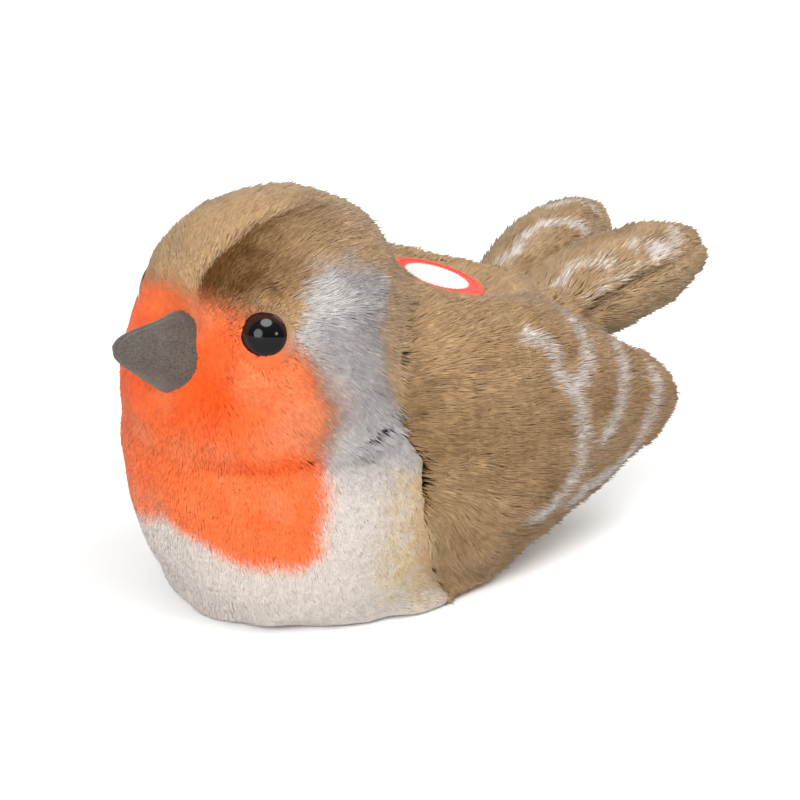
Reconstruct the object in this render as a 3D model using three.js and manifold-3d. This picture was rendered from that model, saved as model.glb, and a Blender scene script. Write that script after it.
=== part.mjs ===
// A plush robin toy: a stuffed bird of short pile that sits on its flattened, weighted belly.
// Millimetres, +Z up. The beak looks along -Y and the bird's left side is +X.
// The origin is on the floor, under the middle of the toy's box.
// The surfaces are the tips of the pile, so each solid is as large as the toy looks.

import * as THREE from "three";
import { mergeVertices } from "three/addons/utils/BufferGeometryUtils.js";
import Module from "manifold-3d";

const wasm = await Module();
wasm.setup();

// ---------------------------------------------------------------- driving dimensions
// Stations along the bird are measured from the middle of its breast, heights from the floor.

const GAP = 0.3; // clearance between pieces that are sewn or pressed together
const GROUND_SIZE = 400; // a block under the floor, larger than the toy

const TRUNK_BOTTOM = -4; // the belly would hang this low if the floor didn't flatten it
const TRUNK_TOP = 68; // at the nape, inside the head
const BREAST_HALF_WIDTH = 34;
const BREAST_HEART = 4; // station of the breast's widest place
const NAPE_HEART = 12; // station of the trunk's highest place

const HEAD_BOTTOM = 27; // inside the trunk
const HEAD_TOP = 82.5;
const HEAD_HEART = -3; // station of the head's widest place

const BEAK_ROOT = new THREE.Vector3(0, -22, 53.4); // inside the face
const BEAK_LENGTH = 19; // from the root to the tip
const BEAK_RISE = THREE.MathUtils.degToRad(16);
const BEAK_HALF_WIDTH = 7.2; // at the root
const BEAK_HALF_HEIGHT = 9.4;
const BEAK_COLLAR = 0.14; // share of the length before the cone begins to narrow
const BEAK_TIP_RADIUS = 2.8;

const EYE_RADIUS = 4.7;
const EYE_HALF_THICKNESS = 3.4;
const EYE_CENTRE = new THREE.Vector3(18.5, -19, 61.4);
const EYE_AXIS = new THREE.Vector3(0.68, -0.7, 0.12).normalize();

const WING_FRONT = 0;
const WING_TIP = 80;
const WING_CLEARANCE = 0.8; // the wings hang this far above the floor
const WING_WAIST = 50; // height where the front edge reaches furthest forward
const WING_FOOT_SWEEP = 16; // how far the foot of that edge lies back
const WING_SHOULDER_SWEEP = 10; // and its shoulder
const WING_SHOULDER = 75; // height where the shoulder would have all of its sweep
const WING_SWEPT_LENGTH = 60; // the sweep fades out over this length

const TAIL_ROOT = 52;
const TAIL_TIP = 99.5;
const TAIL_LOBE_HALF_WIDTH = 10.2;

const PATCH_RADIUS = 9.9;
const PATCH_THICKNESS = 0.9;
const PATCH_CENTRE = new THREE.Vector3(4, 35.6, 59); // the middle of its upper face
const PATCH_NORMAL = new THREE.Vector3(0.14, 0.31, 0.94).normalize();
const PATCH_HOLLOW_DEPTH = 6;
const PATCH_HOLLOW_FLARE = 1.8; // the pile leans away from the patch this much for each mm up

// ---------------------------------------------------------------- materials

const cloth = (colour) => new THREE.MeshStandardMaterial({ color: colour, roughness: 0.95, metalness: 0 });

const brownPile = cloth(0xb1946f);
const whitePile = cloth(0xe9e4dc);
const orangePile = cloth(0xef6a34);
const greyFelt = cloth(0x77797c);
const redPatch = new THREE.MeshStandardMaterial({ color: 0xd8453f, roughness: 0.6, metalness: 0 });
const eyePlastic = new THREE.MeshStandardMaterial({ color: 0x1c120d, roughness: 0.08, metalness: 0 });

// ---------------------------------------------------------------- helpers

const UP = new THREE.Vector3(0, 1, 0); // the axis of a lathe, a cylinder and a sphere as they are made

const signedPower = (value, power) => Math.sign(value) * Math.abs(value) ** power;

// A smooth line through [station, value] pairs, read at any station.
function line(...points) {
  const stations = points.map(([station]) => station);
  const values = points.map(([, value]) => value);
  const smooth = new THREE.CubicInterpolant(stations, values, 1);
  return (station) => smooth.evaluate(station)[0];
}

// Only the positions, with shared corners.
function merged(geometry) {
  const bare = geometry.index ? geometry.toNonIndexed() : geometry.clone();
  bare.deleteAttribute("normal");
  bare.deleteAttribute("uv");
  return mergeVertices(bare, 1e-4);
}

// A closed stuffed body, made of rings from one end to the other. Along Y the rings stand up,
// and along Z they lie flat. Each ring reaches `width` to either side of `middle`, and from
// `low` to `high` with its widest place at `heart`. A small `blunt` makes an end fuller, and a
// larger `square` makes the rings boxier.
function stuffed({ along, ends, sides, rings, middle, width, low, high, heart, square, blunt }) {
  const geometry = new THREE.SphereGeometry(1, sides, rings);
  const position = geometry.getAttribute("position");
  for (let i = 0; i < position.count; i++) {
    const share = position.getY(i);
    const reach = Math.sqrt(Math.max(0, 1 - share * share));
    const across = reach > 0 ? signedPower(position.getX(i) / reach, 2 / square) : 0;
    const aside = reach > 0 ? signedPower(position.getZ(i) / reach, 2 / square) : 0;
    const station = (ends[0] + ends[1]) / 2 + (share * (ends[1] - ends[0])) / 2;
    const swell = reach ** blunt[share < 0 ? 0 : 1];
    const centre = heart ? heart(station) : (low(station) + high(station)) / 2;
    const side = aside > 0 ? high(station) - centre : centre - low(station);
    const x = middle(station) + width(station) * swell * across;
    if (along === "z") position.setXYZ(i, -x, centre + swell * aside * side, station);
    else position.setXYZ(i, x, station, centre + swell * aside * side);
  }
  return merged(geometry);
}

// The same body grown outwards by a distance.
function grown(geometry, distance) {
  const bigger = geometry.clone();
  bigger.computeVertexNormals();
  const position = bigger.getAttribute("position");
  const normal = bigger.getAttribute("normal");
  for (let i = 0; i < position.count; i++) {
    position.setX(i, position.getX(i) + distance * normal.getX(i));
    position.setY(i, position.getY(i) + distance * normal.getY(i));
    position.setZ(i, position.getZ(i) + distance * normal.getZ(i));
  }
  bigger.deleteAttribute("normal");
  return bigger;
}

// The same body on the bird's other side, with its faces still pointing out.
function mirrored(geometry) {
  const other = geometry.clone().scale(-1, 1, 1);
  const index = other.index.array;
  for (let i = 0; i < index.length; i += 3) {
    [index[i + 1], index[i + 2]] = [index[i + 2], index[i + 1]];
  }
  return other;
}

function solid(geometry) {
  const vertProperties = new Float32Array(geometry.getAttribute("position").array);
  const triVerts = new Uint32Array(geometry.index.array);
  return new wasm.Manifold(new wasm.Mesh({ numProp: 3, vertProperties, triVerts }));
}

// The largest body of a solid, as geometry.
function geometryOf(manifold) {
  const bodies = manifold.decompose();
  const largest = bodies.reduce((a, b) => (b.volume() > a.volume() ? b : a));
  const { vertProperties, triVerts } = largest.getMesh();
  const geometry = new THREE.BufferGeometry();
  geometry.setAttribute("position", new THREE.BufferAttribute(vertProperties, 3));
  geometry.setIndex(new THREE.BufferAttribute(triVerts, 1));
  return geometry;
}

// All that is under a level, which flattens what rests there.
function ground(level) {
  const block = new THREE.BoxGeometry(GROUND_SIZE, GROUND_SIZE, GROUND_SIZE);
  return solid(merged(block.translate(0, 0, level - GROUND_SIZE / 2)));
}

function part(name, geometry, material) {
  const mesh = new THREE.Mesh(geometry, material);
  mesh.name = name;
  return mesh;
}

// ---------------------------------------------------------------- shapes, before they are cut

// Breast, belly, back and rump in one: a bag that is round in front and runs out under the tail.
function trunkShape() {
  return stuffed({
    along: "z",
    ends: [TRUNK_BOTTOM, TRUNK_TOP],
    sides: 36,
    rings: 26,
    square: 2.15,
    blunt: [0.42, 0.55],
    middle: () => 0,
    width: line([-4, 32], [10, 33.5], [25, BREAST_HALF_WIDTH], [36, 34.5], [46, 32], [58, 31]),
    low: line([-4, -27.5], [10, -30.5], [25, -31.3], [36, -31.5], [44, -29], [52, -26], [68, -10]),
    high: line([-4, 42], [10, 54], [22, 65], [36, 73], [46, 72], [54, 64.5], [61, 50], [68, 32]),
    heart: line([-4, BREAST_HEART], [36, BREAST_HEART], [50, NAPE_HEART - 2], [68, NAPE_HEART]),
  });
}

// A dome that sits on the breast. Its lower rim makes the neck crease.
function headShape() {
  return stuffed({
    along: "z",
    ends: [HEAD_BOTTOM, HEAD_TOP],
    sides: 32,
    rings: 20,
    square: 2.1,
    blunt: [0.5, 1.05],
    middle: () => 0,
    width: line([27, 33], [40, 34.5], [50, 31.5], [57, 29.5], [66, 28.5], [83, 29]),
    low: line([27, -35], [38, -34.8], [46, -32.3], [55, -29], [66, -27.6], [78, -30], [83, -30]),
    high: line([27, 22], [42, 22], [55, 22], [66, 22.6], [78, 27], [83, 27.5]),
    heart: () => HEAD_HEART,
  });
}

// A cone with a rounded tip, taller than wide, that points forward and a little up.
function beakShape() {
  const tip = BEAK_TIP_RADIUS / BEAK_HALF_HEIGHT;
  const tipStart = 1 - BEAK_TIP_RADIUS / BEAK_LENGTH;
  const waist = new THREE.Vector2((1 + tip) / 2 + 0.02, (BEAK_COLLAR + tipStart) / 2);
  const profile = [new THREE.Vector2(0, 0), new THREE.Vector2(1, 0), new THREE.Vector2(0.97, BEAK_COLLAR), waist];
  const steps = 5;
  for (let i = 0; i < steps; i++) {
    const turn = (i / steps) * (Math.PI / 2);
    profile.push(new THREE.Vector2(tip * Math.cos(turn), tipStart + (1 - tipStart) * Math.sin(turn)));
  }
  profile.push(new THREE.Vector2(0, 1));
  const cone = new THREE.LatheGeometry(profile, 24);
  cone.scale(BEAK_HALF_WIDTH, BEAK_LENGTH, BEAK_HALF_HEIGHT);
  cone.rotateX(Math.PI - BEAK_RISE);
  return merged(cone.translate(BEAK_ROOT.x, BEAK_ROOT.y, BEAK_ROOT.z));
}

// A button eye, domed on both faces.
function eyeShape(clearance) {
  const radius = EYE_RADIUS + clearance;
  const button = new THREE.SphereGeometry(1, 18, 12);
  button.scale(radius, EYE_HALF_THICKNESS + clearance, radius);
  button.applyQuaternion(new THREE.Quaternion().setFromUnitVectors(UP, EYE_AXIS));
  return merged(button.translate(EYE_CENTRE.x, EYE_CENTRE.y, EYE_CENTRE.z));
}

// A thick pad over the flank, from a blunt front edge to a tip that stands free behind.
function wingShape() {
  const pad = stuffed({
    along: "y",
    ends: [WING_FRONT, WING_TIP],
    sides: 28,
    rings: 20,
    square: 2.3,
    blunt: [0.2, 0.5],
    middle: line([0, 16], [30, 17], [50, 22], [65, 25.5], [80, 27]),
    width: line([0, 21.6], [30, 21.2], [50, 14.7], [65, 9], [80, 7]),
    low: line([0, -4], [20, -1.5], [33, 3.5], [50, 9.5], [65, 15], [80, 21]),
    high: line([0, 66], [15, 65], [30, 62], [50, 54.5], [65, 46], [80, 39.5]),
  });
  const position = pad.getAttribute("position");
  for (let i = 0; i < position.count; i++) {
    const station = position.getY(i);
    const height = position.getZ(i);
    const foot = Math.max(0, WING_WAIST - height) / WING_WAIST;
    const shoulder = Math.max(0, height - WING_WAIST) / (WING_SHOULDER - WING_WAIST);
    const sweep = WING_FOOT_SWEEP * foot ** 2 + WING_SHOULDER_SWEEP * shoulder ** 2;
    position.setY(i, station + sweep * Math.max(0, 1 - (station - WING_FRONT) / WING_SWEPT_LENGTH));
  }
  return pad;
}

// One of the tail's two rounded lobes, which lean apart and meet along the middle.
function tailLobeShape() {
  return stuffed({
    along: "y",
    ends: [TAIL_ROOT, TAIL_TIP],
    sides: 22,
    rings: 16,
    square: 2.2,
    blunt: [0.6, 0.5],
    middle: line([52, 3.5], [65, 7.8], [83, 11.2], [99, 14.5]),
    width: line([52, 8.5], [65, 10.2], [83, TAIL_LOBE_HALF_WIDTH], [99, 7.5]),
    low: line([52, 34], [65, 37], [83, 41.5], [99, 46]),
    high: line([52, 50], [65, 56], [78, 60.6], [88, 62.4], [99, 62.5]),
  });
}

// A flat round patch, a little left of the spine, and the hollow of pressed pile round it.
function patchShape() {
  const disc = new THREE.CylinderGeometry(PATCH_RADIUS, PATCH_RADIUS, PATCH_THICKNESS, 36);
  return onBack(disc.translate(0, -PATCH_THICKNESS / 2, 0));
}

function patchHollow() {
  const floorRadius = PATCH_RADIUS + GAP;
  const rimRadius = floorRadius + PATCH_HOLLOW_FLARE * PATCH_HOLLOW_DEPTH;
  const cup = new THREE.CylinderGeometry(rimRadius, floorRadius, PATCH_HOLLOW_DEPTH, 36);
  return onBack(cup.translate(0, PATCH_HOLLOW_DEPTH / 2 - PATCH_THICKNESS - GAP, 0));
}

function onBack(geometry) {
  geometry.applyQuaternion(new THREE.Quaternion().setFromUnitVectors(UP, PATCH_NORMAL));
  return merged(geometry.translate(PATCH_CENTRE.x, PATCH_CENTRE.y, PATCH_CENTRE.z));
}

// ---------------------------------------------------------------- pieces, cut so that they meet

const trunkBody = trunkShape();
const headBody = headShape();
const lobe = tailLobeShape();
const lobeClear = grown(lobe, GAP);
const eyeBall = eyeShape(0);
const eyeSocket = eyeShape(GAP);

const trunkClear = solid(grown(trunkBody, GAP));
const headClear = solid(grown(headBody, GAP));
const tailClear = solid(lobeClear).add(solid(mirrored(lobeClear)));
const hollow = solid(patchHollow());

const trunk = solid(trunkBody).subtract(ground(0)).subtract(hollow);
const head = solid(headBody)
  .subtract(trunkClear)
  .subtract(solid(eyeSocket))
  .subtract(solid(mirrored(eyeSocket)));
const beak = solid(beakShape()).subtract(headClear).subtract(trunkClear);
const tail = solid(lobe).add(solid(mirrored(lobe))).subtract(trunkClear);
const wing = solid(wingShape())
  .subtract(trunkClear)
  .subtract(headClear)
  .subtract(tailClear)
  .subtract(hollow)
  .subtract(ground(WING_CLEARANCE));
const wingPad = geometryOf(wing);

const robin = new THREE.Group();
robin.add(
  part("trunk", geometryOf(trunk), whitePile),
  part("head", geometryOf(head), orangePile),
  part("beak", geometryOf(beak), greyFelt),
  part("eye_left", eyeBall, eyePlastic),
  part("eye_right", mirrored(eyeBall), eyePlastic),
  part("wing_left", wingPad, brownPile),
  part("wing_right", mirrored(wingPad), brownPile),
  part("tail", geometryOf(tail), brownPile),
  part("round_patch", patchShape(), redPatch),
);

// The origin goes under the middle of the toy's box.
const box = new THREE.Box3().setFromObject(robin);
const boxMiddle = box.getCenter(new THREE.Vector3());
robin.position.set(-boxMiddle.x, -boxMiddle.y, -box.min.z);

export default robin;
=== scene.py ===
import math

import bmesh
import bpy
import numpy as np
from mathutils import Matrix, Vector
from mathutils.bvhtree import BVHTree
from mathutils.kdtree import KDTree


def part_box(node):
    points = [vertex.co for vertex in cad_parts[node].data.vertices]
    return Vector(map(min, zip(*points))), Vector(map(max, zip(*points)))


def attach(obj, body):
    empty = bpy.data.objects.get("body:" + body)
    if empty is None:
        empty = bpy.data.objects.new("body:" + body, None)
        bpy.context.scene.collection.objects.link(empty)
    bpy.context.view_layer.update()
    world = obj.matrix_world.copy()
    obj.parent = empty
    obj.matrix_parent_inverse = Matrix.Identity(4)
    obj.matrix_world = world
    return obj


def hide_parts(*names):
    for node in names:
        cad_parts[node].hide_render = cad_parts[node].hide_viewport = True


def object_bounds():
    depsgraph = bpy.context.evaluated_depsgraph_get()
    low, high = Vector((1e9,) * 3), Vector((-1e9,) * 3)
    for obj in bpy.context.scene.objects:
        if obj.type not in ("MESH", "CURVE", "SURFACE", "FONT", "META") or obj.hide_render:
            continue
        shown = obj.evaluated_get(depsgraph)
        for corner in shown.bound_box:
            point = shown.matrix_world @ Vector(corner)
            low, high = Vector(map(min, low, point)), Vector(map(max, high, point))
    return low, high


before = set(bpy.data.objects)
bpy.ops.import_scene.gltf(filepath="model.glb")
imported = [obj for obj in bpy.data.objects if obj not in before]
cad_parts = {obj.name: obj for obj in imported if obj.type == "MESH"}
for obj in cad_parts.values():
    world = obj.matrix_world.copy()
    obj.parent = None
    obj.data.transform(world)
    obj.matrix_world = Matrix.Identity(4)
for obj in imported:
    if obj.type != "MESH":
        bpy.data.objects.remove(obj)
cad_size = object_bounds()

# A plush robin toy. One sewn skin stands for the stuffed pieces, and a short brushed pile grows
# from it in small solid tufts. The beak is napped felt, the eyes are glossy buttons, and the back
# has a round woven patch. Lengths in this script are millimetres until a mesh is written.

MM = 0.001
SEED = 11
WAVES = 10  # in each random field
FAR = 99  # stands for a place too far off to matter

# ---- places, from the frame


def corners(node):
    low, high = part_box(node)
    return np.array(low) / MM, np.array(high) / MM


def middle(node):
    low, high = corners(node)
    return (low + high) / 2


def direction(*way):
    return np.array(way) / np.linalg.norm(way)


STUFFED = ("trunk", "head", "wing_left", "wing_right", "tail")
TRUNK, HEAD, WING_LEFT, WING_RIGHT, TAIL = range(len(STUFFED))
WINGS = (WING_LEFT, WING_RIGHT)

BREAST = corners("trunk")[0][1]  # the foremost place of the breast
BACK = np.array([0.0, 1.0, 0.0])
DOWN = np.array([0.0, 0.0, -1.0])

EYE_MIDDLE = middle("eye_left")
EYE_SHIFT = np.array([0.25, 0.3, -0.3])  # the button was sewn on a little lower and further back
EYE_GROWTH = 1.1  # and it is a size larger than its seat in the solids
EYE_RADIUS = 4.98  # before that growth
EYE_AXIS = direction(0.68, -0.70, 0.12)
EYE_DOME = 2.7  # how far the dome stands out from the eye's middle
EYE_SINK = 0.5  # how far the button is pulled into the pile
BEAK_ROOT = np.array([0.0, BREAST + 11.6, 52.85])  # inside the face
BEAK_LENGTH = 20.7
BEAK_RISE = math.radians(16)
BEAK_HALF_WIDTH = 8.8
BEAK_HALF_HEIGHT = 9.0
BEAK_RIDGE = 1.12  # over 1 draws the section in to a ridge above and below
BEAK_TURNS = 72  # steps round the beak
PATCH_RADIUS = 9.9
PATCH_THICKNESS = 0.9
PATCH_NORMAL = direction(0.17, 0.215, 0.96)
PATCH_SHIFT = np.array([1.0, -1.2, -0.1])  # the patch was sewn on a little forward
PATCH_TOP = middle("round_patch") + PATCH_NORMAL * PATCH_THICKNESS / 2 + PATCH_SHIFT

# ---- fields over the toy


def ramp(start, end, value):
    """0 before start, 1 after end, smooth between; start may be the larger one."""
    share = np.clip((value - start) / (end - start), 0, 1)
    return share * share * (3 - 2 * share)


def bump_at(value, centre, width):
    return np.exp(-(((value - centre) / width) ** 2))


def ripple(points, wavelength, seed):
    """A smooth random field, mostly between -1 and 1, whose features are about a wavelength apart."""
    draw = np.random.default_rng(SEED * 100 + seed)
    heading = draw.normal(size=(WAVES, 3))
    heading /= norms(heading)[:, None]
    pitch = 2 * math.pi / (wavelength * draw.uniform(0.7, 1.4, WAVES))
    phase = draw.uniform(0, 2 * math.pi, WAVES)
    return np.sin(points @ (heading * pitch[:, None]).T + phase).sum(axis=1) / math.sqrt(WAVES)


def ripples(points, wavelength, *seeds):
    """The same in as many directions as there are seeds."""
    return np.stack([ripple(points, wavelength, seed) for seed in seeds], axis=1)


def norms(vectors):
    return np.linalg.norm(vectors, axis=1)


def unit(vectors):
    return vectors / np.maximum(norms(vectors), 1e-9)[:, None]


def dot(first, second):
    return (first * second).sum(axis=1)


def off_axis(offset, axis):
    """How far each place lies from an axis, and how far along it."""
    along = offset @ axis
    return norms(offset - along[:, None] * axis), along


def line_distance(places, corner_points):
    """Distance in the plane from each place to a line through a few points."""
    best = np.full(len(places), 1e9)
    for start, end in zip(corner_points[:-1], corner_points[1:]):
        start, end = np.array(start, float), np.array(end, float)
        along = end - start
        share = np.clip((places - start) @ along / (along @ along), 0, 1)
        best = np.minimum(best, norms(places - start - share[:, None] * along))
    return best


class Places:
    """Points on the toy: x to its left, aside without a sign, back from the breast, up from the floor."""

    def __init__(self, points, piece):
        self.points = points
        self.piece = piece
        self.x = points[:, 0]
        self.aside = np.abs(points[:, 0])
        self.back = points[:, 1] - BREAST
        self.up = points[:, 2]

    def on(self, *pieces):
        return np.isin(self.piece, pieces)

    def from_eye(self):
        mirrored = self.points * np.where(self.x < 0, -1, 1)[:, None] ** np.array([1, 0, 0])
        return mirrored - EYE_MIDDLE - EYE_SHIFT

    def eye_radius(self):
        """Distance from the axis of the nearer eye, far away for places behind it."""
        across, depth = off_axis(self.from_eye(), EYE_AXIS)
        return np.where(np.abs(depth) < 6, across / EYE_GROWTH, FAR)

    def beak_reach(self):
        """Distance from the beak's axis, as a share of the beak's half width and height there."""
        rise = self.up - BEAK_ROOT[2] - (BEAK_ROOT[1] - self.points[:, 1]) * math.tan(BEAK_RISE)
        reach = np.hypot(self.x / BEAK_HALF_WIDTH, rise / BEAK_HALF_HEIGHT)
        return np.where(self.points[:, 1] < BEAK_ROOT[1] + 6, reach, FAR)

    def over_patch(self):
        """Height over the round patch's face."""
        return (self.points - PATCH_TOP) @ PATCH_NORMAL

    def patch_radius(self):
        """Distance from the middle of the round patch, along its face."""
        across, depth = off_axis(self.points - PATCH_TOP, PATCH_NORMAL)
        return np.where(np.abs(depth) < 7, across, FAR)


# ---- markings, sprayed on the cloth

PILE_WHITENESS = 0.74  # share of the light that a clean white pile gives back


def dye(red, green, blue):
    """A colour given in screen values, as light."""
    screen = np.array([red, green, blue]) / 255
    return np.where(screen <= 0.04045, screen / 12.92, ((screen + 0.055) / 1.055) ** 2.4)


TAN = dye(190, 156, 115)
BROW = dye(92, 54, 10)
CROWN_BACK = dye(196, 163, 126)
OLIVE = dye(188, 158, 124)
WING_BROWN = dye(190, 156, 116)
WING_SHADE = dye(160, 126, 86)
CHEEK_GREY = dye(162, 157, 155)
PALE_GREY = dye(197, 193, 190)
SPRAY_GREY = dye(238, 232, 229)
HOT_ORANGE = dye(249, 87, 24)
ORANGE = dye(242, 113, 58)
SALMON = dye(232, 144, 104)
FAWN = dye(150, 94, 54)
BELLY = dye(213, 203, 194)
CREAM = dye(206, 182, 139)
RUMP = dye(194, 172, 140)

GUSSET_START, GUSSET_END = 3.5, 40.8
GUSSET_LEFT, GUSSET_RIGHT = 7.7, 15.0  # the crown gusset was sewn in a little towards the toy's right

# The rear edge of the orange, as (height, station behind the breast).
ORANGE_EDGE = (
    (18, 17.8), (31, 17.6), (41, 18.6), (48, 20.8), (54, 19.8),
    (57.3, 17.2), (60.8, 15), (65.4, 11), (67.4, 7.8), (69, 4.5), (73, -4),
)

# The top of the grey cheek, as (station, height), and the front of the ruff, as (height, station).
CHEEK_TOP = ((0, 60), (14, 60), (17.5, 64), (21.5, 71), (24, 73), (30, 73), (42, 68), (60, 40))
RUFF_FRONT = (
    (28, 40.5), (31, 38.5), (36.5, 37), (41.5, 35.8), (44.4, 34.6), (48.4, 33.2),
    (52.4, 32.2), (57, 32.2), (60.6, 33), (63.6, 35.5), (66, 38.5), (70, 42),
)

# The hem of the orange bib, as (distance from the middle, height).
BIB_HEM = (
    (0, 22), (10, 19.7), (17.7, 16.2), (21, 15.8), (24.2, 16.2), (27, 17.2), (29, 17.8), (33, 18),
)

# The crease under the chin and cheek, as (distance from the middle, height).
NECK_CREASE = ((10, 36), (17, 36.4), (23, 36.6), (27.5, 37.7), (30.3, 38.9), (32.3, 38))

# Sprayed grey arcs on a wing: half width, then (station, height) places.
WING_ARCS = (
    (1.0, (66, 53), (70, 51.8), (72.2, 49), (71.6, 45.5), (74, 42)),
    (1.1, (74, 42), (76.6, 39.5), (77.4, 34), (77.4, 25), (75, 20.5), (71, 17.4), (66, 16)),
    (0.9, (82.7, 53), (82.3, 50), (81, 45), (78, 41.8)),
    (1.0, (94.5, 45), (93.5, 41), (90.8, 36.8), (88.5, 32), (85, 28.4)),
    (0.9, (102, 38), (103, 35), (101, 30), (98, 25), (96.5, 22)),
    (1.2, (96, 21), (90.5, 20), (82.5, 18.5), (77, 16)),
)
ARC_BLOB = (74.6, 42)  # where the first two arcs run together

# Sprayed grey strokes on the tail: half width, then (place to the toy's left, station) places.
TAIL_STROKES = (
    (0.35, (17, 96.5), (17.8, 101), (18.7, 105), (19.4, 110)),
    (1.5, (18.8, 114), (19.2, 117)),
    (0.8, (19.4, 119), (17.9, 121.4), (15.5, 123)),
    (0.6, (9, 93), (11.2, 95), (10.7, 98.5), (12, 101.2), (15, 104)),
    (0.7, (16, 110), (14.5, 113)),
    (0.8, (-8, 94), (-6, 96), (-6.2, 98), (-9, 103), (-7, 109.5), (-4, 115), (-3, 118)),
    (0.9, (-14, 114), (-12.5, 120), (-8.5, 123), (-6, 124.5)),
)

# The seam along a tail lobe's outer edge, as (station, height).
LOBE_SEAM = ((90, 44), (99.5, 49.3), (104.6, 52), (110, 54.1), (119, 55.5), (126, 57), (131, 57.6))

# The tail lobe's middle line, as (station, distance from the toy's middle).
LOBE_LINE = ((83.7, 3.5), (96.7, 7.8), (114.7, 11.2), (131, 14.5))


def along_line(value, places):
    return np.interp(value, [place[0] for place in places], [place[1] for place in places])


def outside_gusset(at):
    """Distance out from the nearer seam of the crown gusset, negative on the gusset itself."""
    share = np.clip((at.back - GUSSET_START) / (GUSSET_END - GUSSET_START), 0, 1)
    half_width = np.where(at.x > 0, GUSSET_LEFT, GUSSET_RIGHT) * np.sqrt(np.sin(math.pi * share))
    return at.aside - half_width


def on_crown(at):
    inside = (at.back > GUSSET_START) & (at.back < GUSSET_END)
    return at.on(HEAD) * inside * ramp(65.5, 69, at.up)


def blend(under, over, share):
    return under * (1 - share[:, None]) + over * share[:, None]


def cheek_markings(at, cloud):
    """Grey, paler where it is fluffed up behind the eye and above the neck."""
    pale = bump_at(at.up, 68, 5) * bump_at(at.back, 24, 7) + 0.5 * bump_at(at.up, 40, 4)
    return blend(CHEEK_GREY, PALE_GREY, np.clip(pale + 0.3 * cloud, 0, 0.9))


def crown_markings(at, streak):
    """Tan on the gusset, dark beside its seams and over the eye, tan again to the nape; painted shade
    darkens the seam's groove and the partings of the pile.
    """
    outside = outside_gusset(at)
    brown = blend(TAN, CROWN_BACK, ramp(20, 34, at.back))
    beside = ramp(-0.7, 0.7, outside)
    beside = beside * np.where(at.x < 0, ramp(-16.5, -20, at.x), 1)
    band = beside * np.exp(-np.clip(outside, 0, FAR) / 8) * ramp(46, 28, at.back)
    spot = beside * bump_at(outside, 5, 11) * bump_at(at.back, 13, 11.5) * bump_at(at.up, 69, 9.5)
    # Painted shade: darker along the groove of the crown seam and in thin partings of the pile.
    seam = bump_at(outside, 0.0, 1.0) * on_crown(at) * ramp(38, 26, at.back) * ramp(-3, 3, at.x)
    parting = 0.5 * ramp(0.9, 1.6, ripple(at.points * (1, 0.35, 0.6), 3, 14)) * ramp(22, 10, at.back)
    brow_and_painted_shade = 0.76 * band + 0.7 * spot + 0.5 * seam + 0.2 * parting
    return blend(brown, BROW, np.clip(brow_and_painted_shade * (1 + 0.2 * streak), 0, 0.97))


def breast_markings(at, streak, under):
    """White below the crease of the neck, cream where the wing's spray has caught it."""
    top = np.interp(at.back, (10, 20, 32, 60), (40, 38.5, 35, 24))
    pale = at.on(TRUNK) * ramp(2.5, -2.5, at.up - top + 0.6 * streak)
    white = blend(BELLY, CHEEK_GREY, 0.6 * ramp(-10, -1, at.up - top))
    mottle = 0.78 + 0.5 * ripple(at.points, 4.2, 4) + 0.45 * ripple(at.points, 2.2, 5)
    wing_edge = np.interp(at.up, (3, 12, 24, 36), (50, 42, 38.5, 37.5))
    reach = np.interp(at.up, (8, 16, 30), (20, 17, 13))
    near_wing = ramp(-1, -0.2, (at.back - wing_edge) / reach) * ramp(38, 30, at.up)
    tinted = blend(white, CREAM, np.clip(near_wing * mottle, 0, 0.95))
    shaded = 0.75 * near_wing * ramp(0.3, 1.2, ripple(at.points, 2.6, 15))
    tinted = blend(tinted, WING_BROWN, shaded)
    behind_edge = ramp(-4.5, 1, at.back - wing_edge + 0.9 * streak)
    tinted = blend(tinted, WING_BROWN, behind_edge * ramp(38, 30, at.up))
    below = ramp(5.0, 1, at.up) * ramp(58, 44, at.back)
    tinted = blend(tinted, BELLY, 0.8 * below)
    rump = ramp(62, 84, at.back) * ramp(2, 14, at.up)
    return blend(under, blend(tinted, RUMP, rump), pale)


def orange_markings(at, streak, cloud, under):
    """Hottest beside the beak, softer on the cheeks and round the rim of the bib."""
    edge = along_line(at.up, ORANGE_EDGE)
    hem = along_line(at.aside, BIB_HEM)
    beyond = at.back - edge + 0.2 * streak + 0.5 * cloud
    short = hem - at.up + 0.15 * streak + 0.5 * cloud
    corner = 4.0
    outside = np.hypot(np.maximum(beyond + corner, 0), np.maximum(short + corner, 0)) - corner
    outside = np.where((beyond < -corner) & (short < -corner), np.maximum(beyond, short), outside)
    soft = 2.0 + 1.0 * ramp(56, 62, at.up) + 2.2 * ramp(62, 67, at.up)
    soft = soft + 2.0 * ramp(36, 42, at.up) * ramp(62, 54, at.up)
    share = ramp(1, -1, outside / soft)
    near_beak = np.exp(-(((at.aside - 10) / 10) ** 2 + ((at.up - 52) / 9) ** 2))
    orange = blend(ORANGE, HOT_ORANGE, np.clip(1.1 * near_beak + 0.2 * cloud, 0, 1))
    pale = 0.3 * ripple(at.points, 12, 6) + 0.75 * bump_at(at.up, 45, 6) * ramp(5, 13, at.back)
    pale = pale + 0.5 * ramp(60, 68, at.up) + 0.7 * ramp(26, 31, at.aside) * ramp(36, 42, at.up)
    orange = blend(orange, SALMON, np.clip(pale, 0, 0.6) * (1 - 0.8 * near_beak))
    rim = bump_at(outside, 0.3, 3.8) * (ramp(34, 42, at.up) - 0.4 * ramp(56, 62, at.up))
    orange = blend(orange, FAWN, 0.95 * rim)
    # Painted shade: a deeper, darker orange in the crease under the cheek.
    orange = blend(orange, HOT_ORANGE, 0.8 * neck_crease(at))
    return blend(under, orange, share)


def neck_crease(at):
    """1 along the crease under the cheek, fading to nothing under the chin."""
    crease = bump_at(at.up, along_line(at.aside, NECK_CREASE) + 0.3, 1.1)
    return crease * ramp(9, 17, at.aside) * ramp(29, 23, at.back)


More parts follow.
